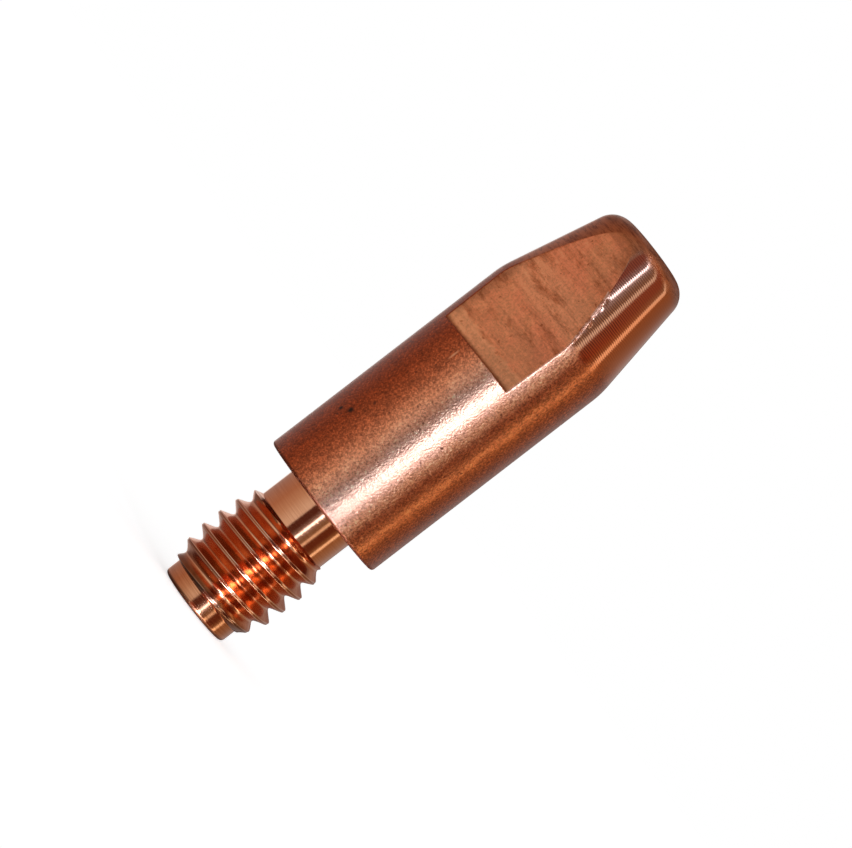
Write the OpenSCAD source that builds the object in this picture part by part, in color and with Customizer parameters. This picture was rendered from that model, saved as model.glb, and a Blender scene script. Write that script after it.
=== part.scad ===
// Welding contact tip, turned from one copper bar.
// The axis is Z. The foot of the threaded end is at z = 0 and the wire leaves at the top.

/* [Thread] */
// Diameter over the thread crests
thread_d = 5.8; // [4.8:0.1:7]
// Height that one turn of the thread climbs
thread_pitch = 1; // [0.75:0.25:1.25]
// Length of the threaded stretch
thread_len = 4.95; // [4:0.05:8]
// Radius by which the first thread crest stands below the full crest
lead_drop = 0.43; // [0.2:0.01:0.5]
// Length over which the crests rise to full height
lead_len = 1.45; // [0.5:0.05:2]
// Radius by which the last thread crest stands below the full crest
runout_drop = 0.27; // [0.1:0.01:0.5]
// Length over which the crests fall again
runout_len = 1.4; // [0.5:0.05:2]

/* [Pilot] */
// Length of the plain pilot below the thread
pilot_len = 0.85; // [0.5:0.05:2]
// Depth of the pilot wall below the thread root
pilot_relief = 0.1; // [0.05:0.01:0.3]
// Radius of the pilot's lower edge
pilot_round = 0.2; // [0.05:0.01:0.3]

/* [Neck] */
// Length of the undercut between the thread and the seat
neck_len = 2.03; // [1:0.01:3]
// Depth of the neck wall below the thread root
neck_relief = 0.03; // [0.02:0.01:0.2]

/* [Body] */
// Diameter of the round body
body_d = 7.85; // [7:0.05:10]
// Length of the round body from the seat to the cone
body_len = 13.97; // [10:0.01:30]
// Radius of the edge around the seat
seat_round = 0.25; // [0.1:0.05:0.5]

/* [Cone] */
// Length of the tapered end
cone_len = 6.2; // [4:0.1:8]
// Slope of the taper against the axis, in degrees
cone_angle = 11.4; // [6:0.1:14]
// Radius of the tip's round edge
tip_round = 1.2; // [0.4:0.05:1.4]

/* [Spanner flats] */
// Distance across the two flats where they start
across_flats = 5.9; // [5:0.05:6.5]
// Lean of each flat towards the axis, in degrees
flat_lean = 1; // [0:0.5:3]
// Length of the flats, measured back from the tip
flat_len = 9.85; // [7:0.05:14]

/* [Wire bore] */
// Diameter of the wire bore
bore_d = 1.2; // [0.8:0.1:2]
// Diameter of the funnel at the threaded end
funnel_d = 2.6; // [2.2:0.1:3]
// Slope of the funnel wall against the axis, in degrees
funnel_angle = 30; // [20:5:45]

/* [Hidden] */
// Angle around the axis of the crest at every whole turn of height
thread_turn = -83;
// Slope of a thread flank against a plane across the axis, in degrees
flank_angle = 30;
// Crest width and thread depth as shares of the pitch, as on a metric screw
crest_share = 1 / 8;
depth_share = 0.62;
crest_flat = crest_share * thread_pitch;
thread_depth = depth_share * thread_pitch;
root_flat = thread_pitch - crest_flat - 2 * thread_depth * tan(flank_angle);
crest_r = thread_d / 2;
root_r = crest_r - thread_depth;
pilot_r = root_r - pilot_relief;
neck_r = root_r - neck_relief;
body_r = body_d / 2;

// Heights of the shoulders along the axis
thread_z = pilot_len;
neck_z = thread_z + thread_len;
seat_z = neck_z + neck_len;
cone_z = seat_z + body_len;
tip_z = cone_z + cone_len;
flat_z = tip_z - flat_len;

// The tip's edge is an arc that meets the cone and the end face smoothly
tip_arc_z = tip_z - tip_round;
tip_arc_r = body_r - (tip_arc_z - cone_z) * tan(cone_angle) - tip_round / cos(cone_angle);

// Steps in a rounded edge, and in a turn of the thread
arc_steps = 12;
turn_steps = 36;
// Overlap by which a cut reaches past the surface that it opens
cut = 0.05;
$fn = 96;

// Points of an arc about [r, z], from one angle to another
function arc(center, radius, from, to) =
    [for (i = [0 : arc_steps])
        let (a = from + (to - from) * i / arc_steps)
        center + radius * [cos(a), sin(a)]];

// Half section of the turned blank, from the axis outwards and up
function blank_outline() = concat(
    [[0, 0]],
    arc([pilot_r - pilot_round, pilot_round], pilot_round, -90, 0),
    [
        [pilot_r, thread_z],
        [crest_r - lead_drop, thread_z],
        [crest_r, thread_z + lead_len],
        [crest_r, neck_z - runout_len],
        [crest_r - runout_drop, neck_z],
        [neck_r, neck_z],
        [neck_r, seat_z],
    ],
    arc([body_r - seat_round, seat_z + seat_round], seat_round, -90, 0),
    [[body_r, cone_z]],
    arc([tip_arc_r, tip_arc_z], tip_round, cone_angle, 90),
    [[0, tip_z]]
);

// Four corners of the thread groove at one angle around the axis, half a pitch below the crest there
function groove_section(angle) =
    let (
        z = thread_pitch * (angle - thread_turn) / 360 - thread_pitch / 2,
        outer_r = crest_r + cut,
        root_half = root_flat / 2,
        outer_half = root_half + (outer_r - root_r) * tan(flank_angle),
        out = [cos(angle), sin(angle), 0]
    )
    [
        root_r * out + [0, 0, z - root_half],
        outer_r * out + [0, 0, z - outer_half],
        outer_r * out + [0, 0, z + outer_half],
        root_r * out + [0, 0, z + root_half],
    ];

// Helical groove that runs from below the first crest to past the last one
module thread_groove() {
    first_step = floor((thread_turn / 360 + thread_z / thread_pitch) * turn_steps);
    last_step = ceil((thread_turn / 360 + neck_z / thread_pitch + 1) * turn_steps);
    sections = last_step - first_step;
    corners = [for (i = [first_step : last_step]) each groove_section(i * 360 / turn_steps)];
    walls = [for (i = [0 : sections - 1], k = [0 : 3])
        let (a = 4 * i + k, b = 4 * i + (k + 1) % 4)
        each [[a, b, b + 4], [a, b + 4, a + 4]]];
    ends = [[3, 2, 1, 0], [for (k = [0 : 3]) 4 * sections + k]];
    polyhedron(points = corners, faces = concat(walls, ends), convexity = 10);
}

// What the two spanner flats take off the body and the cone, each from a square step upwards
module flat_cuts() {
    for (turn = [0, 180])
        rotate(turn)
            translate([0, across_flats / 2, flat_z])
                rotate([flat_lean, 0, 0])
                    translate([-body_d, 0, 0])
                        cube([2 * body_d, body_d, 2 * flat_len]);
}

// Wire bore through the whole length, with a funnel where the wire goes in
module wire_bore() {
    funnel_depth = (funnel_d - bore_d) / 2 / tan(funnel_angle);
    translate([0, 0, -cut])
        cylinder(d = bore_d, h = tip_z + 2 * cut);
    translate([0, 0, -cut])
        cylinder(d1 = funnel_d + 2 * cut * tan(funnel_angle), d2 = bore_d, h = funnel_depth + cut);
}

module contact_tip() {
    color([0.68, 0.37, 0.24])
    difference() {
        rotate_extrude() polygon(blank_outline());
        thread_groove();
        flat_cuts();
        wire_bore();
    }
}

contact_tip();
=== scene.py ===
import math

import bpy
from mathutils import Matrix, Vector, noise


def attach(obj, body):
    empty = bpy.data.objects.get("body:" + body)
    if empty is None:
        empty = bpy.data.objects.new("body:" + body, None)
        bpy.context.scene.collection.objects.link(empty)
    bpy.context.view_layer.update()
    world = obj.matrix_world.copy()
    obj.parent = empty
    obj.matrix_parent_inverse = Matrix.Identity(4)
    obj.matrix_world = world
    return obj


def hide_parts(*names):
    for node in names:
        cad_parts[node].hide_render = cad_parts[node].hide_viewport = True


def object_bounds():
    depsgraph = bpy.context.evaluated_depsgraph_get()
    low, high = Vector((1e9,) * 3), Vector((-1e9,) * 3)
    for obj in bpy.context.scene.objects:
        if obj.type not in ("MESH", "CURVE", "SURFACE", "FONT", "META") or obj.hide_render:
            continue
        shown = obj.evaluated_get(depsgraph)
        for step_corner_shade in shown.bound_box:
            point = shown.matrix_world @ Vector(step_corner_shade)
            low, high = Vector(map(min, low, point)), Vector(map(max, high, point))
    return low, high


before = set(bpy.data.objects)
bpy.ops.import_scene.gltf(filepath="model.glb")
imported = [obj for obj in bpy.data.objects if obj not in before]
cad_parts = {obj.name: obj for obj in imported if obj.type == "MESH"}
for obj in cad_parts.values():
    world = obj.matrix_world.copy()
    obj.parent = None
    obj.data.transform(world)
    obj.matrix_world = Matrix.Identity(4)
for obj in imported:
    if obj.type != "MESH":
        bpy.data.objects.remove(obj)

# A welding contact tip, stood on its threaded end.
# Sizes are in millimetres and colours are linear. Angles are in radians, unless a comment says degrees.
MM = 0.001
NODE = "contact_tip"

# Outer sizes come from the frame
cad_low, cad_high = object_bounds()
LENGTH = cad_high.z / MM
BODY_R = min(cad_high.x, -cad_low.x) / MM

# Lengths of the cone and of the spanner flats, measured back from the nose
CONE_LEN = 6.2
FLAT_LEN = 9.85

# Heights of the steps along the axis
THREAD_Z = 0.85
NECK_Z = 5.8
SEAT_Z = 7.83
CONE_Z = LENGTH - CONE_LEN
FLAT_Z = LENGTH - FLAT_LEN

# Thread: a rolled screw thread with round roots
PITCH = 1.0
CREST_R = 2.9
THREAD_DEPTH = 0.62
ROOT_R = CREST_R - THREAD_DEPTH
# Slope of a flank, as radius over height
FLANK_RISE = math.sqrt(3)
# Share of the pitch from the middle of a groove to the lip of the crest, as on a metric screw
LIP_SHARE = 7 / 16
# Half width of the root, and its rounding
ROOT_HALF = PITCH * LIP_SHARE - THREAD_DEPTH / FLANK_RISE
ROOT_BLEND = 0.12
# Angle around the axis at which the middle of the crest is a whole number of pitches high
THREAD_TURN = math.radians(-83)
# The crests rise over the first turns and fall over the last ones
LEAD_DROP = 0.43
LEAD_LEN = 1.45
RUNOUT_DROP = 0.27
RUNOUT_LEN = 1.4
# How far a crest is dished, as a share of the height by which its flanks would rise past it
CREST_DISH = 0.25
# Rounding of a crest's lips
CREST_BLEND = 0.03
# Slopes of the first and last flank, as radius over height, and how far the last one reaches past the thread
START_RISE = 3.5
END_FALL = 1.75
END_REACH = 0.2

# Pilot and neck, with their depths below the thread's root, and the edge of the seat
PILOT_RELIEF = 0.1
PILOT_R = ROOT_R - PILOT_RELIEF
PILOT_ROUND = 0.2
NECK_RELIEF = 0.03
NECK_R = ROOT_R - NECK_RELIEF
SEAT_ROUND = 0.18

# Cone, half the length of the soft bend at its foot, and the rounded nose
CONE_ANGLE = math.radians(11.4)
CONE_BLEND = 0.5
TIP_ROUND = 1.2
TIP_ARC_Z = LENGTH - TIP_ROUND
TIP_ARC_R = BODY_R - (TIP_ARC_Z - CONE_Z) * math.tan(CONE_ANGLE) - TIP_ROUND / math.cos(CONE_ANGLE)
NOSE_Z = TIP_ARC_Z + TIP_ROUND * math.sin(CONE_ANGLE)

# Spacing of the tool rings on the cone, and the height at which they end
RING_PITCH = 0.115
RING_END = NOSE_Z + 0.5

# Spanner flats: their distance from the axis at the step, and their slope towards it
FLAT_HALF = 2.95
FLAT_LEAN = math.tan(math.radians(1))

# Width of a broken edge
EDGE = 0.035

# Torn edge of the front flat, along the cone: its ends, and the length over which it fades there
BURR_LOW = CONE_Z + 0.3
BURR_HIGH = CONE_Z + 3.1
BURR_FADE = 0.5
# How far it wanders and stands up, and how far its material reaches to each side
BURR_WANDER = 0.12
BURR_RISE = 0.05
BURR_WIDTH = 0.09
# Columns of the mesh over which its shift dies away to each side
BURR_COLUMNS = 5

# Wire bore and its funnel
BORE_R = 0.6
FUNNEL_R = 1.3
FUNNEL_ANGLE = math.radians(30)
FUNNEL_Z = (FUNNEL_R - BORE_R) / math.tan(FUNNEL_ANGLE)

# Columns of the mesh in a flat sector and in a round one
FLAT_COLUMNS = 56
ROUND_COLUMNS = 72
# Least share of its full angle that a flat sector keeps, where the flat narrows to a point
LEAST_SECTOR = 0.25
# Decimals of a millimetre to which points are rounded, so that rows that meet share them
POINT_DECIMALS = 5
# Edges that turn by more than this are shaded sharp
SHARP_ANGLE = math.radians(44)


def clamp(value, low, high):
    return max(low, min(high, value))


def steps(start, end, count):
    """Evenly spaced values from start to end, both included."""
    return [start + (end - start) * i / count for i in range(count + 1)]


# Angle around the axis at which the camera stands
CAMERA_TURN = math.radians(26)


def facing(turn):
    """Level direction, turned from the camera's by an angle in degrees, positive to the camera's right."""
    angle = CAMERA_TURN + math.radians(turn)
    return Vector((math.sin(angle), -math.cos(angle), 0))


# Form of the part

def outer_radius(z):
    """Radius of the body, cone and rounded nose, without the flats."""
    past = z - CONE_Z
    if z > NOSE_Z:
        rise = min(z - TIP_ARC_Z, TIP_ROUND)
        return TIP_ARC_R + math.sqrt(TIP_ROUND ** 2 - rise ** 2)
    if past > CONE_BLEND:
        return BODY_R - math.tan(CONE_ANGLE) * past
    if past > -CONE_BLEND:
        return BODY_R - math.tan(CONE_ANGLE) * (past + CONE_BLEND) ** 2 / (4 * CONE_BLEND)
    return BODY_R


def flat_distance(z):
    """Distance of a spanner flat from the axis."""
    return FLAT_HALF - (z - FLAT_Z) * FLAT_LEAN


def flat_angle(z):
    """Half angle that a flat takes up around the axis."""
    return math.acos(min(1, flat_distance(z) / outer_radius(z)))


def height_share(z):
    """Share of its full height that the thread reaches, as it rises at its start and falls at its end."""
    lead = LEAD_DROP * clamp(1 - (z - THREAD_Z) / LEAD_LEN, 0, 1)
    runout = RUNOUT_DROP * clamp(1 - (NECK_Z - z) / RUNOUT_LEN, 0, 1)
    return 1 - max(lead, runout) / THREAD_DEPTH


def full_ridge(from_root):
    """Height of the full thread over its root, at a distance along the axis from the middle of its groove."""
    rise = (abs(from_root) - ROOT_HALF) * FLANK_RISE
    flank = (rise + math.hypot(rise, ROOT_BLEND)) / 2
    crest = THREAD_DEPTH - CREST_DISH * (flank - THREAD_DEPTH)
    return (flank + crest - math.hypot(flank - crest, CREST_BLEND)) / 2


def thread_radius(z, from_root):
    """Radius of the thread at a height, at a distance along the axis from the middle of its groove."""
    ridge = ROOT_R + full_ridge(from_root) * height_share(z)
    start = PILOT_R + (z - THREAD_Z) * START_RISE
    end = NECK_R + (NECK_Z + END_REACH - z) * END_FALL
    return min(ridge, start, end)


# Mesh of the part: rings of points, from the funnel up the outside and down the bore

def spread(count):
    """Values from -1 to 1 that crowd towards both ends."""
    return [0.5 * q + 0.5 * math.sin(math.pi / 2 * q) for q in steps(-1, 1, count - 1)]


FLAT_SPREAD = spread(FLAT_COLUMNS)
ROUND_SPREAD = spread(ROUND_COLUMNS)
FULL_SECTOR = flat_angle(FLAT_Z)


def sector_angles(half):
    """Angles of all columns, where each flat sector has this half angle."""
    gap = EDGE / BODY_R
    side = math.pi / 2 - half - gap
    flat = [math.asin(p * (math.sin(half) - gap)) for p in FLAT_SPREAD]
    round_part = [math.pi / 2 + p * side for p in ROUND_SPREAD]
    return [a + turn for turn in (-math.pi / 2, math.pi / 2) for a in flat + round_part]


ANGLES = sector_angles(FULL_SECTOR)
COLUMNS = len(ANGLES)


def polar(radius, angle, z):
    return (radius * math.cos(angle), radius * math.sin(angle), z)


def plain_ring(radius, z):
    return [polar(radius, a, z) for a in ANGLES]


def torn(column, z):
    """Shift in x and y of a point beside the torn edge of the front flat."""
    beside = clamp(1 - abs(column - FLAT_COLUMNS + 0.5) / BURR_COLUMNS, 0, 1)
    along = clamp((z - BURR_LOW) / BURR_FADE, 0, 1) * clamp((BURR_HIGH - z) / BURR_FADE, 0, 1)
    # The first number of each place keeps the noises apart, and the last sets their waves per millimetre
    wander = noise.noise((0, 0, 2.3 * z)) + noise.noise((5, 0, 7 * z)) / 2
    rise = max(0, noise.noise((9, column / 2, 6 * z)) + 0.15)
    return BURR_WANDER * beside * along * wander, -BURR_RISE * beside * along * rise


def flat_ring(z):
    """Ring through the body, cone or nose, cut by the two flats."""
    radius = outer_radius(z)
    distance = flat_distance(z)
    # Towards the end face the flat sectors open to their full angle again
    opening = clamp((z - NOSE_Z) / (LENGTH - NOSE_Z), 0, 1)
    half = max(flat_angle(z), FULL_SECTOR * (LEAST_SECTOR + (1 - LEAST_SECTOR) * opening))
    points = []
    for column, angle in enumerate(sector_angles(half)):
        x, y, z = polar(radius, angle, z)
        if abs(y) > distance:
            y = math.copysign(distance, y)
        shift_x, shift_y = torn(column, z)
        points.append((x + shift_x, y + shift_y, z))
    return points


# Rows of points on one side of a thread groove, as shares of the way from its middle to the lip of the crest
GROOVE_SHARES = (0.15, 0.3, 0.45, 0.65, 0.82, 0.92, 0.97, 1.03, 1.08)
GROOVE_SIDE = [share * PITCH * LIP_SHARE for share in GROOVE_SHARES]
GROOVE_ROWS = [-PITCH / 2, *[-step for step in reversed(GROOVE_SIDE)], 0, *GROOVE_SIDE]
THREAD_END = NECK_Z + END_REACH


def thread_rows():
    """Rows that wind around the thread. Past its ends they lie on the end rings."""
    first = math.floor(THREAD_Z / PITCH) - 1
    last = math.ceil(THREAD_END / PITCH)
    rows = []
    for turn in range(first, last + 1):
        for offset in GROOVE_ROWS:
            points = []
            for angle in ANGLES:
                middle = PITCH * (turn + 0.5 + (angle - THREAD_TURN) / math.tau)
                z = clamp(middle + offset, THREAD_Z, THREAD_END)
                turns = (z - middle) / PITCH
                points.append(polar(thread_radius(z, (turns - round(turns)) * PITCH), angle, z))
            rows.append(points)
    return rows


def arc_rings(center_r, center_z, radius, start, end, count):
    """Plain rings along an arc of the outline, with angles in degrees."""
    turns = [math.radians(a) for a in steps(start, end, count)]
    return [plain_ring(center_r + radius * math.cos(a), center_z + radius * math.sin(a)) for a in turns]


def flat_rows():
    """Rings from the step of the flats to the edge of the end face."""
    body = [FLAT_Z + EDGE, *steps(FLAT_Z + 3 * EDGE, CONE_Z - CONE_BLEND, 16)]
    bend = steps(CONE_Z - CONE_BLEND, CONE_Z + CONE_BLEND, 14)
    cone = steps(CONE_Z + CONE_BLEND, NOSE_Z, 72)
    nose = [TIP_ARC_Z + TIP_ROUND * math.sin(a) for a in steps(CONE_ANGLE, math.pi / 2, 28)]
    return [flat_ring(z) for z in body + bend[1:] + cone[1:] + nose[1:]]


def step_rows():
    """Rings at the height of the step: its broken edge, and its foot on the flats."""
    edge = []
    for x, y, z in plain_ring(BODY_R, FLAT_Z):
        share = 1 - EDGE / BODY_R if abs(y) > FLAT_HALF else 1
        edge.append((x * share, y * share, z))
    return [edge, flat_ring(FLAT_Z)]


def outline_rows():
    """All rows of the mesh in order, each with the zone of the surface that follows it."""
    pilot_arc = (PILOT_R - PILOT_ROUND, PILOT_ROUND, PILOT_ROUND, -90, 0, 6)
    seat_arc = (BODY_R - SEAT_ROUND, SEAT_Z + SEAT_ROUND, SEAT_ROUND, -90, 0, 8)
    zones = [
        ("pilot", [plain_ring(FUNNEL_R + EDGE, 0)]),
        ("pilot", arc_rings(*pilot_arc)),
        ("pilot", [plain_ring(PILOT_R, z) for z in steps(PILOT_ROUND, THREAD_Z, 5)[1:]]),
        ("thread", thread_rows()),
        ("neck", [plain_ring(NECK_R, z) for z in steps(THREAD_END, SEAT_Z - EDGE, 8)]),
        ("body", [plain_ring(NECK_R + EDGE, SEAT_Z)]),
        ("body", arc_rings(*seat_arc)),
        ("body", [plain_ring(BODY_R, z) for z in steps(SEAT_Z + SEAT_ROUND, FLAT_Z - EDGE, 12)[1:]]),
        ("body", [*step_rows(), *flat_rows()]),
        ("nose", [plain_ring(r, LENGTH) for r in steps(TIP_ARC_R, BORE_R + 2 * EDGE, 6)[1:]]),
        ("bore", [plain_ring(BORE_R, z) for z in steps(LENGTH - 2 * EDGE, FUNNEL_Z, 6)]),
        ("pilot", [plain_ring(FUNNEL_R, EDGE)]),
    ]
    return [(zone, points) for zone, rings in zones for points in rings]


def zone_at(zone, center):
    """Zone of a face of the body, from the place of its middle."""
    if zone != "body":
        return zone
    x, y, z = center
    slack = EDGE / 4
    if BURR_LOW < z < BURR_HIGH and y < 0 < x:
        edge = math.sqrt(outer_radius(z) ** 2 - flat_distance(z) ** 2)
        if abs(x - edge) < BURR_WIDTH and abs(y) > flat_distance(z) - 2 * BURR_RISE:
            return "burr"
    if z > FLAT_Z - slack and abs(y) > flat_distance(z) - slack:
        return "flat"
    if z > RING_END:
        return "nose"
    return "cone" if z > CONE_Z else "body"


def mesh_parts():
    """Points in metres, faces, and each face's zone. Rows that meet share their points."""
    row_zones, row_points = zip(*outline_rows())
    winding = [row for row, zone in enumerate(row_zones) if zone == "thread"]
    numbers = {}

    def number(point):
        """Number of a point, which is a new one if no earlier row has it."""
        place = tuple(round(c, POINT_DECIMALS) for c in point)
        return numbers.setdefault(place, len(numbers))

    grid = [[number(point) for point in points] for points in row_points]
    places = list(numbers)
    faces = []
    zones = []

    def seam(row):
        """Row that carries on from this one after a full turn."""
        on_thread = winding[0] <= row <= winding[-1]
        return min(row + len(GROOVE_ROWS), winding[-1]) if on_thread else row

    for row, zone in enumerate(row_zones):
        above = (row + 1) % len(grid)
        for column in range(COLUMNS):
            wrap = column == COLUMNS - 1
            low = grid[seam(row)][0] if wrap else grid[row][column + 1]
            high = grid[seam(above)][0] if wrap else grid[above][column + 1]
            corners = list(dict.fromkeys((grid[row][column], low, high, grid[above][column])))
            if len(corners) > 2:
                center = [sum(places[c][i] for c in corners) / len(corners) for i in range(3)]
                faces.append(corners)
                zones.append(zone_at(zone, center))
    points = [tuple(c * MM for c in place) for place in places]
    return points, faces, zones


def link(name, data):
    """New object in the scene."""
    item = bpy.data.objects.new(name, data)
    bpy.context.scene.collection.objects.link(item)
    return item


def make_tip(materials):
    """The part as one mesh, with a material for each zone."""
    points, faces, zones = mesh_parts()
    mesh = bpy.data.meshes.new("contact_tip_surface")
    mesh.from_pydata(points, [], faces)
    names = list(materials)
    for name in names:
        mesh.materials.append(materials[name])
    mesh.polygons.foreach_set("material_index", [names.index(zone) for zone in zones])
    mesh.shade_smooth()
    mesh.set_sharp_from_angle(angle=SHARP_ANGLE)
    mesh.validate()
    return link("contact_tip_surface", mesh)


# Materials

class Finish:
    """A metal finish, bare or under a thin clear film, with short calls that add nodes."""

    def __init__(self, name, colour, roughness, film):
        self.material = bpy.data.materials.new(name)
        self.material.use_nodes = True
        self.tree = self.material.node_tree
        self.surface = self.tree.nodes["Principled BSDF"]
        self.set(self.surface, {"Base Color": colour, "Metallic": 1.0, "Roughness": roughness})
        self.set(self.surface, film)
        object_place = self.add("ShaderNodeTexCoord").outputs["Object"]
        scaled = self.add("ShaderNodeVectorMath", {"Scale": 1 / MM, 0: object_place}, operation="SCALE")
        self.place = scaled.outputs[0]

    def set(self, node, values):
        """Sets sockets by name to a value or to another node's output."""
        for name, value in values.items():
            if isinstance(value, bpy.types.NodeSocket):
                self.tree.links.new(value, node.inputs[name])
            else:
                node.inputs[name].default_value = value

    def add(self, kind, values=None, **settings):
        """New node of a kind, with values for its sockets and settings of its own."""
        node = self.tree.nodes.new(kind)
        for name, value in settings.items():
            setattr(node, name, value)
        self.set(node, values or {})
        return node

    def math(self, operation, first, second=0.0):
        return self.add("ShaderNodeMath", {0: first, 1: second}, operation=operation).outputs[0]

    def stretch(self, x, y, z):
        """Place with each direction multiplied, for marks that are longer one way."""
        values = {0: self.place, 1: (x, y, z)}
        return self.add("ShaderNodeVectorMath", values, operation="MULTIPLY").outputs[0]

    def noise(self, per_mm, detail=2.0, roughness=0.5, place=None):
        """Noise around 0.5, with this many waves per millimetre. Detail and roughness add finer ones."""
        values = {"Vector": place or self.place, "Scale": per_mm, "Detail": detail, "Roughness": roughness}
        return self.add("ShaderNodeTexNoise", values).outputs["Fac"]

    def remap(self, value, low, high, to_low, to_high):
        """Value between two limits, moved evenly to two others. Past the limits it stays there."""
        values = {"Value": value, "From Min": low, "From Max": high, "To Min": to_low, "To Max": to_high}
        return self.add("ShaderNodeMapRange", values).outputs["Result"]

    def mix(self, share, first, second):
        """First colour, with a share of the second."""
        values = {"Factor": share, 6: first, 7: second}
        return self.add("ShaderNodeMix", values, data_type="RGBA").outputs[2]

    def ramp(self, value, stops):
        """Colour for a value from -1 to 1, between colours at given values."""
        node = self.add("ShaderNodeValToRGB", {"Fac": self.remap(value, -1, 1, 0, 1)})
        elements = node.color_ramp.elements
        while len(elements) < len(stops):
            elements.new(0.5)
        for element, (place, colour) in zip(elements, stops):
            element.position = (place + 1) / 2
            element.color = colour
        return node.outputs["Color"]

    def tint(self, colour, amount):
        """Colour made lighter or darker by an amount."""
        return self.add("ShaderNodeVectorMath", {0: colour, "Scale": amount}, operation="SCALE").outputs[0]

    def bump(self, height, depth):
        """Bump in which a height of 1 stands for this many millimetres."""
        values = {"Height": height, "Strength": 1.0, "Distance": depth * MM}
        return self.add("ShaderNodeBump", values).outputs["Normal"]

    def relief(self, normal):
        """Gives the metal and the film over it the same relief."""
        self.set(self.surface, {"Normal": normal, "Coat Normal": normal})

    def toward(self, direction):
        """How far a place lies along a direction from the axis."""
        node = self.add("ShaderNodeVectorMath", {0: self.place, 1: direction}, operation="DOT_PRODUCT")
        return node.outputs["Value"]

    def spot(self, place, size, length=1):
        """1 at a place and 0 from a distance of its size on, drawn out along the axis."""
        shrink = Vector((1, 1, 1 / length))
        ends = {0: self.stretch(*shrink), 1: place * shrink}
        gap = self.add("ShaderNodeVectorMath", ends, operation="DISTANCE").outputs["Value"]
        return self.remap(gap, size / 3, size, 1, 0)

    def from_groove(self):
        """0 in the middle of the thread's groove and 0.5 in the middle of its crest."""
        place = self.add("ShaderNodeSeparateXYZ", {0: self.place}).outputs
        angle = self.math("ARCTAN2", place["Y"], place["X"])
        wound = self.math("MULTIPLY", self.math("SUBTRACT", angle, THREAD_TURN), 1 / math.tau)
        turns = self.math("SUBTRACT", self.math("MULTIPLY", place["Z"], 1 / PITCH), wound)
        return self.math("PINGPONG", self.math("ADD", turns, 0.5), 0.5)

    def axis(self):
        """Height along the part's axis."""
        return self.add("ShaderNodeSeparateXYZ", {0: self.place}).outputs["Z"]


# No film, and the colour of freshly cut copper
BARE = {"Coat Weight": 0.0}
FRESH = (0.8, 0.38, 0.22, 1)


def on_body(turn, z):
    """Place on the round body, at an angle in degrees against the camera."""
    return facing(turn) * BODY_R + Vector((0, 0, z))


# Tones around the body, from one side at -1 over the front at 0 to the other side at 1. They are painted
# light: a pale painted highlight over the front, a bright painted reflection of a stripe near 0.69, and
# painted shade that darkens both sides
BODY_PAINTED_LIGHT_TONES = (
    (-0.74, (0.37, 0.08, 0.024, 1)),
    (-0.45, (0.5, 0.14, 0.06, 1)),
    (-0.27, (0.72, 0.255, 0.13, 1)),
    (-0.1, (0.9, 0.39, 0.24, 1)),
    (0.02, (0.86, 0.48, 0.34, 1)),
    (0.3, (0.8, 0.4, 0.28, 1)),
    (0.43, (0.88, 0.37, 0.21, 1)),
    (0.53, (0.7, 0.23, 0.11, 1)),
    (0.63, (0.62, 0.19, 0.075, 1)),
    (0.69, (0.92, 0.27, 0.1, 1)),
    (0.75, (0.56, 0.16, 0.055, 1)),
    (0.95, (0.42, 0.11, 0.04, 1)),
)
# Where the painted highlight lies on the scale of the tones, around which the grain is weaker, and by how
# much the grain lightens and darkens the body
PAINTED_HIGHLIGHT_SIDE = 0.2
GRAIN_CONTRAST = 2.5
BODY_ROUGHNESS = 0.3
BODY_COAT = 0.3

# Dark spots on the body: angle in degrees against the camera, height and size
DARK_SPOTS = ((-45.9, 11.84, 0.23), (-54.4, 11.52, 0.17))
# Pale nick below the step: its angle in degrees and height, its width, and its length in widths
NICK_TURN = -29
NICK_Z = 17.3
NICK_WIDTH = 0.07
NICK_STRETCH = 6

PIT_COLOUR = (0.1, 0.035, 0.02, 1)
SPOT_COLOUR = (0.04, 0.02, 0.015, 1)
# Painted shade on the rounded edge of the seat
SEAT_EDGE_SHADE_COLOUR = (0.26, 0.07, 0.035, 1)
SEAT_EDGE_ROUGHNESS = 0.6


def tumbled_and_painted_light_colour(finish):
    """Tones around the body, which are painted highlights and painted shade, with a grain of small facets,
    which is weaker around the painted highlight.
    """
    blotch = finish.remap(finish.noise(0.7, 4, 0.6), 0.3, 0.7, -0.045, 0.045)
    side = finish.math("ADD", finish.toward(facing(90) / BODY_R), blotch)
    colour = finish.ramp(side, BODY_PAINTED_LIGHT_TONES)
    colour = finish.tint(colour, finish.remap(finish.noise(2.5, 3, 0.6), 0.3, 0.7, 0.86, 1.14))
    facets = finish.remap(finish.noise(8, 3, 0.95), 0.32, 0.68, -0.95, 0.9)
    # The grain is weaker around the painted highlight
    from_highlight = finish.math("ABSOLUTE", finish.math("SUBTRACT", side, PAINTED_HIGHLIGHT_SIDE))
    facets = finish.math("MULTIPLY", facets, finish.remap(from_highlight, 0.05, 0.2, 0.5, 1))
    return finish.tint(colour, finish.math("POWER", GRAIN_CONTRAST, facets))


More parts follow.
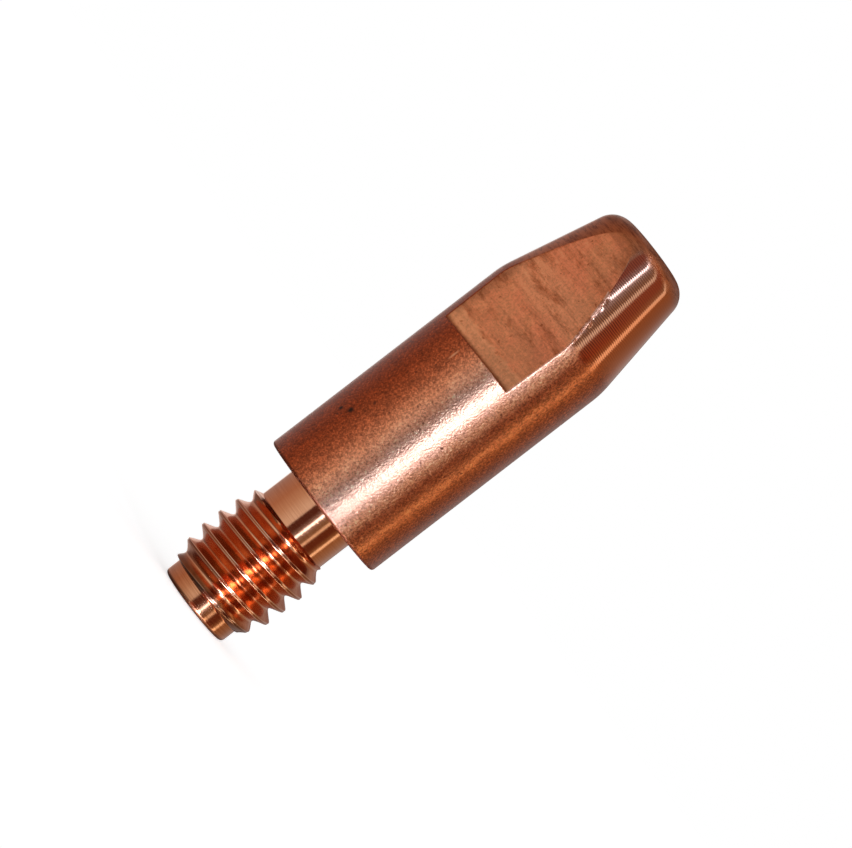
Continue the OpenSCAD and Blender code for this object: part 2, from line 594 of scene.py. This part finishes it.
def body_finish():
    """Tumbled copper under a thin clear film, with painted highlights and painted shade around it, pits,
    spots, a nick, and a dull edge around the seat that painted shade darkens.
    """
    film = {"Coat Weight": BODY_COAT, "Coat Roughness": 0.2, "Coat IOR": 1.5}
    finish = Finish("tumbled_copper", FRESH, BODY_ROUGHNESS, film)
    colour = tumbled_and_painted_light_colour(finish)
    pits = finish.remap(finish.noise(3.5, 1), 0.72, 0.78, 0, 0.7)
    colour = finish.mix(pits, colour, PIT_COLOUR)
    nick = finish.spot(on_body(NICK_TURN, NICK_Z), NICK_WIDTH, NICK_STRETCH)
    colour = finish.mix(nick, colour, FRESH)
    for turn, z, size in DARK_SPOTS:
        colour = finish.mix(finish.spot(on_body(turn, z), size), colour, SPOT_COLOUR)
    # The seat's edge is duller and has no film, and painted shade darkens its colour
    seat_edge = finish.remap(finish.axis(), SEAT_Z + SEAT_ROUND / 2, SEAT_Z + SEAT_ROUND, 1, 0)
    colour = finish.mix(seat_edge, colour, SEAT_EDGE_SHADE_COLOUR)
    finish.set(finish.surface, {
        "Base Color": colour,
        "Roughness": finish.remap(seat_edge, 0, 1, BODY_ROUGHNESS, SEAT_EDGE_ROUGHNESS),
        "Coat Weight": finish.remap(seat_edge, 0, 1, BODY_COAT, 0),
    })
    finish.relief(finish.bump(finish.noise(10, 2), 0.015))
    return finish.material


def turned_lines(finish, pale, dark):
    """Colour of fine lines around the axis, left by a turning tool, with their relief."""
    lines = finish.noise(1, 3, 0.6, finish.stretch(0.4, 0.4, 16))
    finish.relief(finish.bump(lines, 0.004))
    return finish.mix(finish.remap(lines, 0.35, 0.65, 0, 1), pale, dark)


def neck_finish():
    """Freshly turned copper."""
    finish = Finish("turned_copper", FRESH, 0.1, BARE)
    colour = turned_lines(finish, (0.84, 0.41, 0.24, 1), (0.74, 0.34, 0.19, 1))
    finish.set(finish.surface, {"Base Color": colour})
    return finish.material


PILOT_ROUGHNESS = 0.13
FOOT_ROUGHNESS = 0.5
# Painted shade on the rounded edge of the foot
FOOT_SHADE_COLOUR = (0.2, 0.07, 0.035, 1)


def pilot_finish():
    """Turned copper of the pilot, browner than the neck, with a dull foot that painted shade darkens."""
    finish = Finish("pilot_copper", FRESH, PILOT_ROUGHNESS, BARE)
    colour = turned_lines(finish, (0.78, 0.36, 0.2, 1), (0.62, 0.26, 0.13, 1))
    # The foot is duller, and painted shade darkens its colour
    foot = finish.remap(finish.axis(), PILOT_ROUND / 2, PILOT_ROUND, 1, 0)
    roughness = finish.remap(foot, 0, 1, PILOT_ROUGHNESS, FOOT_ROUGHNESS)
    finish.set(finish.surface, {"Base Color": finish.mix(foot, colour, FOOT_SHADE_COLOUR), "Roughness": roughness})
    return finish.material


# Painted highlight in the roots, painted shade on the crests, and a painted highlight along the crests' lips
ROOT_HIGHLIGHT_COLOUR = (0.84, 0.42, 0.26, 1)
CREST_SHADE_COLOUR = (0.5, 0.21, 0.12, 1)
LIP_HIGHLIGHT_COLOUR = (0.86, 0.5, 0.36, 1)


def thread_finish():
    """Rolled thread: mottled red flanks, painted highlights on the roots and the crests' lips, painted shade
    on the crests, and a dark start.
    """
    finish = Finish("rolled_copper", FRESH, 0.18, BARE)
    ridge = finish.from_groove()
    from_lip = finish.math("ABSOLUTE", finish.math("SUBTRACT", ridge, LIP_SHARE))
    mottle = finish.remap(finish.noise(1.6, 3, 0.6), 0.4, 0.62, 0, 1)
    colour = finish.mix(mottle, (0.75, 0.28, 0.13, 1), (0.63, 0.2, 0.08, 1))
    # Painted highlights on the roots and lips, and painted shade on the crests
    colour = finish.mix(finish.remap(ridge, 0.03, 0.07, 1, 0), colour, ROOT_HIGHLIGHT_COLOUR)
    colour = finish.mix(finish.remap(ridge, LIP_SHARE - 0.02, LIP_SHARE + 0.01, 0, 1), colour, CREST_SHADE_COLOUR)
    colour = finish.mix(finish.remap(from_lip, 0.008, 0.03, 1, 0), colour, LIP_HIGHLIGHT_COLOUR)
    start = finish.remap(finish.axis(), THREAD_Z + 0.3, THREAD_Z + 0.6, 0.4, 1)
    finish.set(finish.surface, {"Base Color": finish.tint(colour, start)})
    finish.relief(finish.bump(finish.noise(5, 3, 0.6), 0.004))
    return finish.material


TIP_FILM = {"Coat Weight": 0.25, "Coat Roughness": 0.1, "Coat IOR": 1.5}
CONE_ROUGHNESS = 0.1
NOSE_ROUGHNESS = 0.34
FACE_ROUGHNESS = 0.55
# Share of the nose's colour that its end face keeps, as painted shade that dims the lamp's highlight there
FACE_PAINTED_SHADE = 0.6
# Angle in degrees against the camera at which the tool rings, and the painted highlight and shade of their
# lines, are clearest
RING_TURN = 5


def wear_and_shade_colour(finish):
    """Brown copper with darker streaks around the axis."""
    streaks = finish.remap(finish.noise(1.6, 5, 0.75, finish.stretch(0.6, 0.6, 3)), 0.45, 0.65, 0, 1)
    return finish.mix(streaks, (0.68, 0.24, 0.11, 1), (0.3, 0.085, 0.036, 1))


def tool_rings(finish, wear_and_shade):
    """Height of the tool rings, from -1 to 1. They are patchy, clearest at the front, and gone under the mask
    of wear and painted shade.
    """
    turns = finish.math("MULTIPLY", finish.axis(), math.tau / RING_PITCH)
    waver = finish.math("MULTIPLY", finish.noise(1.5, 2), 4)
    rings = finish.math("SINE", finish.math("ADD", turns, waver))
    patchy = finish.remap(finish.noise(1.1, 3), 0.35, 0.65, 0.5, 1)
    front = finish.remap(finish.toward(facing(RING_TURN)), 2.3, 3.1, 0.12, 1)
    for strength in (patchy, front, finish.remap(wear_and_shade, 0, 1, 1, 0)):
        rings = finish.math("MULTIPLY", rings, strength)
    return rings


def cone_finish():
    """Turned cone: tool rings at the front, whose light and dark lines are painted highlight and shade,
    painted light that warms the right, painted shade that browns the left, and wear at the nose.
    """
    finish = Finish("ringed_copper", FRESH, CONE_ROUGHNESS, TIP_FILM)
    uneven = finish.math("ADD", finish.axis(), finish.remap(finish.noise(2.5, 3), 0.3, 0.7, -0.1, 0.1))
    # Painted shade on the left: brown, streaked and rough, without rings. Past the rings' end the nose is
    # worn
    left = finish.remap(finish.toward(facing(-90)), 0.2, 0.5, 0, 1)
    wear_and_shade = finish.math("MAXIMUM", left, finish.remap(uneven, RING_END - 0.4, RING_END - 0.1, 0, 1))
    rings = tool_rings(finish, wear_and_shade)
    # The rings' light and dark lines in the colour are painted highlight and shade
    high = finish.remap(rings, -0.9, 0.9, 0, 1)
    colour = finish.mix(high, (0.34, 0.16, 0.115, 1), (0.8, 0.43, 0.3, 1))
    # Painted light makes the right side warmer
    right = finish.remap(finish.toward(facing(90)), 1.7, 2.1, 0, 1)
    colour = finish.mix(right, colour, finish.mix(high, (0.54, 0.18, 0.085, 1), (0.88, 0.34, 0.18, 1)))
    colour = finish.mix(wear_and_shade, colour, wear_and_shade_colour(finish))
    # The body's grain and its painted light and shade reach up from below, and less far at the front
    reach = finish.remap(finish.toward(facing(RING_TURN)), 2, 3.8, 1.4, 0.4)
    climb = finish.math("DIVIDE", finish.math("SUBTRACT", uneven, CONE_Z), reach)
    foot = finish.remap(climb, 0.2, 1, 1, 0)
    colour = finish.mix(foot, colour, tumbled_and_painted_light_colour(finish))
    roughness = finish.remap(wear_and_shade, 0, 1, CONE_ROUGHNESS, NOSE_ROUGHNESS)
    roughness = finish.math("MAXIMUM", roughness, finish.remap(foot, 0, 1, 0, BODY_ROUGHNESS))
    finish.set(finish.surface, {"Base Color": colour, "Roughness": roughness})
    finish.relief(finish.bump(rings, 0.0018))
    return finish.material


def nose_finish():
    """Smooth brown copper of the rounded end, dull on its end face, whose colour painted shade darkens."""
    finish = Finish("worn_copper", FRESH, NOSE_ROUGHNESS, TIP_FILM)
    # The end face is duller and has no film, and painted shade darkens its colour
    face = finish.remap(finish.axis(), LENGTH - 0.25, LENGTH - 0.02, 0, 1)
    finish.set(finish.surface, {
        "Base Color": finish.tint(wear_and_shade_colour(finish), finish.remap(face, 0, 1, 1, FACE_PAINTED_SHADE)),
        "Roughness": finish.remap(face, 0, 1, NOSE_ROUGHNESS, FACE_ROUGHNESS),
        "Coat Weight": finish.remap(face, 0, 1, TIP_FILM["Coat Weight"], 0),
    })
    finish.relief(finish.bump(finish.noise(8, 3, 0.6), 0.008))
    return finish.material


# Height of the middle of the pale band across a flat
PALE_Z = FLAT_Z + 4.6
PALE_COLOUR = (0.98, 0.42, 0.226, 1)
SMUDGE_COLOUR = (0.44, 0.122, 0.048, 1)
SPECK_COLOUR = (0.36, 0.095, 0.038, 1)
# Colours of a flat beside its step, at its end towards the nose, and of the painted shadow in the corner of
# the step
STEP_BAND_COLOUR = (0.88, 0.41, 0.22, 1)
FLAT_END_COLOUR = (0.5, 0.175, 0.08, 1)
STEP_CORNER_SHADE_COLOUR = (0.28, 0.075, 0.03, 1)


def flat_tints(finish):
    """Amounts by which a flat is lighter or darker: streaks across the axis, grain, and painted shade that
    darkens it at one edge and towards its other side.
    """
    streaks = finish.remap(finish.noise(1, 5, 0.75, finish.stretch(0.25, 0.25, 3.5)), 0.35, 0.65, 1.12, 0.8)
    grain = finish.remap(finish.noise(8, 3, 0.7), 0.25, 0.75, 0.72, 1.28)
    waver = finish.remap(finish.noise(1.2, 3), 0.3, 0.7, -0.2, 0.2)
    aside = finish.math("ADD", finish.toward((1, 0, 0)), waver)
    # Painted shade: darker at the edge towards -x, and towards +x
    side_painted_shade = finish.remap(aside, -2.65, -1.9, 0.6, 1.06)
    right = finish.remap(aside, -1.2, 2.4, 1.03, 0.82)
    return streaks, grain, side_painted_shade, right


def flat_finish():
    """Milled flat: matt and streaky, with brown smudges and specks, pale bands across it, a painted shadow in
    the corner of its step, and painted shade towards its sides.
    """
    finish = Finish("milled_copper", FRESH, 0.42, BARE)
    hue = finish.remap(finish.noise(0.5, 3, 0.6), 0.4, 0.6, 0, 1)
    smear = finish.noise(0.8, 6, 0.75, finish.stretch(0.55, 0.55, 1.5))
    smudges = finish.remap(smear, 0.51, 0.68, 0, 0.9)
    specks = finish.remap(finish.noise(4, 2, 0.5), 0.66, 0.74, 0, 0.8)
    uneven = finish.math("ADD", finish.axis(), finish.remap(finish.noise(2, 3), 0.3, 0.7, -0.15, 0.15))
    from_pale = finish.math("ABSOLUTE", finish.math("SUBTRACT", uneven, PALE_Z))
    pale = finish.remap(from_pale, 0.5, 1.3, 0.9, 0)
    step_band = finish.remap(uneven, FLAT_Z + 0.75, FLAT_Z + 0.95, 0.9, 0)
    # Painted shadow in the corner of the step
    step_corner_shade = finish.remap(finish.axis(), FLAT_Z + 0.04, FLAT_Z + 0.2, 0.9, 0)
    end = finish.remap(uneven, NOSE_Z - 0.7, NOSE_Z + 0.1, 0, 1)
    colour = finish.mix(hue, (0.91, 0.325, 0.173, 1), (0.85, 0.345, 0.178, 1))
    colour = finish.mix(pale, colour, PALE_COLOUR)
    colour = finish.mix(smudges, colour, SMUDGE_COLOUR)
    colour = finish.mix(step_band, colour, STEP_BAND_COLOUR)
    colour = finish.mix(specks, colour, SPECK_COLOUR)
    colour = finish.mix(end, colour, FLAT_END_COLOUR)
    colour = finish.mix(step_corner_shade, colour, STEP_CORNER_SHADE_COLOUR)
    for amount in flat_tints(finish):
        colour = finish.tint(colour, amount)
    finish.set(finish.surface, {"Base Color": colour})
    finish.relief(finish.bump(finish.noise(9, 2, 0.6), 0.01))
    return finish.material


def burr_finish():
    """Torn copper, bright in places."""
    finish = Finish("torn_copper", FRESH, 0.36, BARE)
    bright = finish.remap(finish.noise(3, 3, 0.7), 0.42, 0.58, 0, 1)
    colour = finish.mix(bright, (0.42, 0.15, 0.075, 1), (0.86, 0.5, 0.38, 1))
    finish.set(finish.surface, {"Base Color": colour})
    finish.relief(finish.bump(finish.noise(6, 3, 0.6), 0.03))
    return finish.material


BORE_COLOUR = (0.4, 0.14, 0.06, 1)


def bore_finish():
    """Wire bore, dull and scored along the axis."""
    finish = Finish("bored_copper", BORE_COLOUR, 0.35, BARE)
    lines = finish.noise(1, 3, 0.6, finish.stretch(12, 12, 0.5))
    finish.relief(finish.bump(lines, 0.006))
    return finish.material


# Stage: floor, world, light tent, lamp and camera

# Half the width of the floor, and its height
FLOOR_HALF = 1200
FLOOR_Z = -0.02
# Colour of the floor, and the light that it gives off
FLOOR_COLOUR = (0.8, 0.8, 0.8, 1)
FLOOR_GLOW = 0.62


def floor_material():
    """Matt white that also glows evenly."""
    material = bpy.data.materials.new("floor_white")
    material.use_nodes = True
    surface = material.node_tree.nodes["Principled BSDF"]
    surface.inputs["Base Color"].default_value = FLOOR_COLOUR
    surface.inputs["Roughness"].default_value = 1.0
    surface.inputs["Specular IOR Level"].default_value = 0.0
    surface.inputs["Emission Color"].default_value = (1, 1, 1, 1)
    surface.inputs["Emission Strength"].default_value = FLOOR_GLOW
    return material


def make_floor():
    """Square floor just under the part, which reflections don't show."""
    corners = [(-1, -1), (1, -1), (1, 1), (-1, 1)]
    points = [(x * FLOOR_HALF * MM, y * FLOOR_HALF * MM, FLOOR_Z * MM) for x, y in corners]
    mesh = bpy.data.meshes.new("floor")
    mesh.from_pydata(points, [], [(0, 1, 2, 3)])
    mesh.materials.append(floor_material())
    floor = link("floor", mesh)
    floor.visible_glossy = False


def make_world():
    """White to the camera and in reflections, and a softer grey as light."""
    world = bpy.data.worlds.new("studio")
    world.use_nodes = True
    bpy.context.scene.world = world
    tree = world.node_tree
    path = tree.nodes.new("ShaderNodeLightPath")
    seen = path.outputs["Is Camera Ray"]
    for name in ("Is Glossy Ray", "Is Transmission Ray"):
        either = tree.nodes.new("ShaderNodeMath")
        either.operation = "MAXIMUM"
        tree.links.new(seen, either.inputs[0])
        tree.links.new(path.outputs[name], either.inputs[1])
        seen = either.outputs[0]
    shade = tree.nodes.new("ShaderNodeMapRange")
    shade.inputs["To Min"].default_value = 0.5
    shade.inputs["To Max"].default_value = 1.0
    tree.links.new(seen, shade.inputs["Value"])
    tree.links.new(shade.outputs["Result"], tree.nodes["Background"].inputs["Strength"])
    tree.nodes["Background"].inputs["Color"].default_value = (1, 1, 1, 1)


# Light tent around the part: angle in degrees against the camera, glow of the wall there, and the glow of
# the bottom and of the top as shares of the wall's
TENT = (
    (-200, (0.28, 0.18, 0.15), 0.45, 0.55),
    (-178, (0.34, 0.25, 0.22), 0.45, 0.55),
    (-172, (0.9, 0.84, 0.8), 0.45, 0.55),
    (-160, (0.9, 0.84, 0.8), 0.45, 0.55),
    (-154, (0.4, 0.32, 0.3), 0.45, 0.55),
    (-120, (0.4, 0.3, 0.28), 0.45, 0.6),
    (-82, (0.44, 0.28, 0.2), 0.4, 0.7),
    (-52, (0.56, 0.45, 0.36), 0.3, 0.65),
    (-26, (0.72, 0.72, 0.68), 0.3, 0.5),
    (-13.5, (0.74, 0.74, 0.72), 0.3, 0.5),
    (-12.5, (0.1, 0.04, 0.03), 7, 2.8),
    (3, (0.1, 0.04, 0.03), 7, 2.8),
    (15, (0.3, 0.26, 0.28), 3, 1.2),
    (16, (0.34, 0.32, 0.35), 3, 1.2),
    (16.5, (0.36, 0.34, 0.38), 50, 1.2),
    (17.2, (3.2, 4.1, 5.3), 7, 1),
    (21, (3.2, 4.1, 5.3), 7, 1),
    (21.7, (0.4, 0.38, 0.4), 50, 1.2),
    (23, (0.38, 0.35, 0.37), 50, 1.2),
    (23.5, (0.36, 0.33, 0.34), 3, 1.2),
    (31, (0.26, 0.19, 0.15), 1.2, 1.2),
    (41, (0.25, 0.155, 0.09), 1.2, 1.2),
    (41.5, (0.92, 0.83, 0.68), 4, 1),
    (47.5, (0.92, 0.83, 0.68), 4, 1),
    (49.5, (0.14, 0.045, 0.022), 2, 2.4),
    (67, (0.14, 0.045, 0.022), 2, 2.4),
    (80.5, (0.3, 0.18, 0.09), 0.8, 1.2),
    (81.5, (1.22, 1.1, 0.86), 3, 0.9),
    (88.5, (1.22, 1.1, 0.86), 3, 0.9),
    (89.5, (0.33, 0.185, 0.08), 1, 1),
    (118, (0.35, 0.26, 0.2), 1, 0.8),
    (135, (0.38, 0.34, 0.33), 1, 0.7),
    (160, (0.4, 0.37, 0.36), 1, 0.6),
)
# Radius of the tent, and of the small hole in its bottom and top
TENT_RADIUS = 45
TENT_HOLE = 0.5
# Heights between which the wall has its own glow, and from which it has the top's
WALL_LOW = -5
WALL_HIGH = 31
TOP_LOW = 41
# Heights of the tent's bottom and top
TENT_LOW = -13
TENT_TOP = 60


def tent_material():
    """Light of the colour that the mesh holds at each point."""
    material = bpy.data.materials.new("tent")
    material.use_nodes = True
    tree = material.node_tree
    tree.nodes.clear()
    attribute = tree.nodes.new("ShaderNodeAttribute")
    attribute.attribute_name = "glow"
    light = tree.nodes.new("ShaderNodeEmission")
    output = tree.nodes.new("ShaderNodeOutputMaterial")
    tree.links.new(attribute.outputs["Color"], light.inputs["Color"])
    tree.links.new(light.outputs[0], output.inputs["Surface"])
    return material


def make_tent():
    """Tent with a bottom, a wall and a top, whose glow changes around the part. Only reflections show it."""
    points = []
    glows = []
    for turn, glow, low, top in TENT:
        rings = ((TENT_HOLE, TENT_LOW, low), (TENT_RADIUS, TENT_LOW, low), (TENT_RADIUS, WALL_LOW, 1),
                 (TENT_RADIUS, WALL_HIGH, 1), (TENT_RADIUS, TOP_LOW, top), (TENT_RADIUS, TENT_TOP, top),
                 (TENT_HOLE, TENT_TOP, top))
        for radius, z, share in rings:
            points.append((facing(turn) * radius + Vector((0, 0, z))) * MM)
            glows.append((*[c * share for c in glow], 1))
    count = len(rings)
    starts = [i for i in range(len(points) - count) if i % count < count - 1]
    mesh = bpy.data.meshes.new("tent")
    mesh.from_pydata(points, [], [(i, i + count, i + count + 1, i + 1) for i in starts])
    colours = mesh.color_attributes.new("glow", "FLOAT_COLOR", "POINT")
    for item, glow in zip(colours.data, glows):
        item.color = glow
    mesh.materials.append(tent_material())
    tent = link("tent", mesh)
    tent.visible_camera = False
    tent.visible_diffuse = False
    tent.visible_shadow = False


def make_key():
    """Upright strip lamp just inside the tent's wall, beside the body and the nose."""
    glow = (9.2, 10, 11)
    # Angle in degrees against the camera
    turn = 21
    distance = 43
    low = 8.5
    high = 33
    width = 4.6
    level = max(glow)
    lamp = bpy.data.lights.new("key", "AREA")
    lamp.shape = "RECTANGLE"
    lamp.size = width * MM
    lamp.size_y = (high - low) * MM
    lamp.color = [c / level for c in glow]
    # With this energy the lamp's surface shows the glow
    lamp.energy = level * math.pi * lamp.size * lamp.size_y
    item = link("key", lamp)
    item.location = (facing(turn) * distance + Vector((0, 0, (low + high) / 2))) * MM
    item.rotation_euler = facing(turn).to_track_quat("Z", "Y").to_euler()


def make_camera():
    """Camera level with the part and rolled, so that the part lies slantwise in the frame."""
    distance = 166
    # Point in the middle of the picture: its height, and how far it lies to the left of the axis
    middle = Vector((0, 0, 14.256)) + facing(90) * -0.104
    # Shares of the picture's right that run across the axis and along it
    across = 0.61037
    along = 0.79211
    right = facing(90) * across + Vector((0, 0, along))
    up = facing(90) * -along + Vector((0, 0, across))
    place = (middle + facing(0) * distance) * MM
    data = bpy.data.cameras.new("camera")
    data.lens = 145.35
    data.sensor_width = 36
    data.sensor_fit = "HORIZONTAL"
    data.clip_start = 10 * MM
    camera = link("camera", data)
    camera.matrix_world = Matrix.Translation(place) @ Matrix((right, up, facing(0))).transposed().to_4x4()
    bpy.context.scene.camera = camera


bpy.context.scene.view_settings.view_transform = "Standard"
tip = make_tip({
    "pilot": pilot_finish(),
    "neck": neck_finish(),
    "thread": thread_finish(),
    "body": body_finish(),
    "flat": flat_finish(),
    "burr": burr_finish(),
    "cone": cone_finish(),
    "nose": nose_finish(),
    "bore": bore_finish(),
})
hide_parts(NODE)
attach(tip, "root")
make_floor()
make_world()
make_tent()
make_key()
make_camera()
